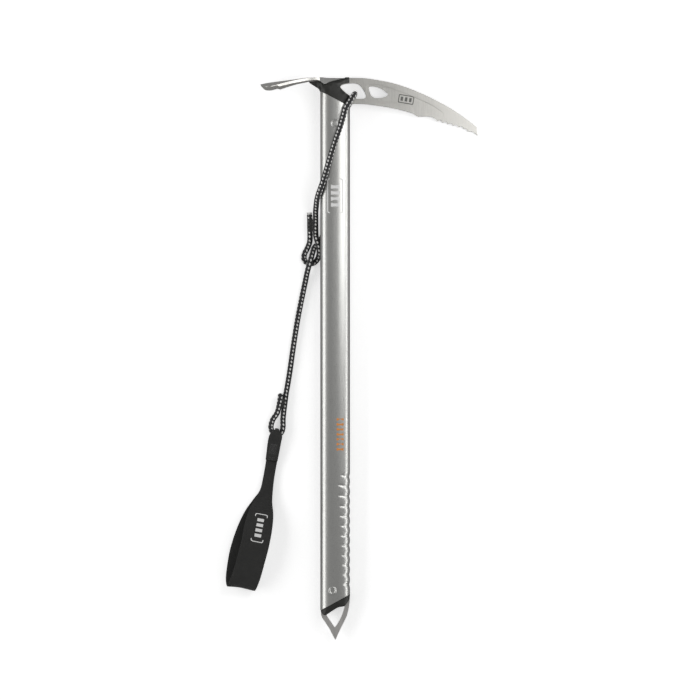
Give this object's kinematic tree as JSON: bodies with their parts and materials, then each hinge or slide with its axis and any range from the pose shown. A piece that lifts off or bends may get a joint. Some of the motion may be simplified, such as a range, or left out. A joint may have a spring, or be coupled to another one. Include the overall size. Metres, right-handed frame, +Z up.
{
  "type": "ice axe",
  "caption": "Straight-shafted ice axe with toothed pick, scooped adze, spike and a cord leash with wrist strap, lying flat.",
  "frame": {"origin": "on the table under the middle of the axe's bounding box, measured without the leash", "axes": "+Y along the shaft from spike to head, +X towards the pick, +Z up from the table the axe lies on"},
  "size_m": [0.2708, 0.6002, 0.0566],
  "materials": {
    "shaft": "satin anodised",
    "head_steel": "satin, ground",
    "spike_steel": "satin",
    "rivet_steel": "satin",
    "black_plastic": "matte moulded",
    "shim_plastic": "matte",
    "cord": "braided, with white flecks",
    "thread": "dense stitching",
    "webbing": "woven webbing"
  },
  "bodies": {
    "axe": {"shaft": "shaft", "pick": "head_steel", "adze": "head_steel", "head_cover": "black_plastic", "tang_shim_front": "shim_plastic", "tang_shim_back": "shim_plastic", "head_rivet": "rivet_steel", "spike": "spike_steel", "spike_plug": "black_plastic", "spike_rivet": "rivet_steel", "leash_cord": "cord", "upper_stitching": "thread", "lower_stitching": "thread"},
    "wrist_strap": {"strap_webbing": "webbing", "wrist_band": "webbing", "strap_bartack": "thread"}
  },
  "joints": [
    {"name": "wrist_strap_pivot", "type": "hinge", "parent": "axe", "child": "wrist_strap", "pos_m": [-0.10056, -0.07577, 0.0055], "axis": [0, 0, 1], "range_deg": [-60, 20]}
  ]
}
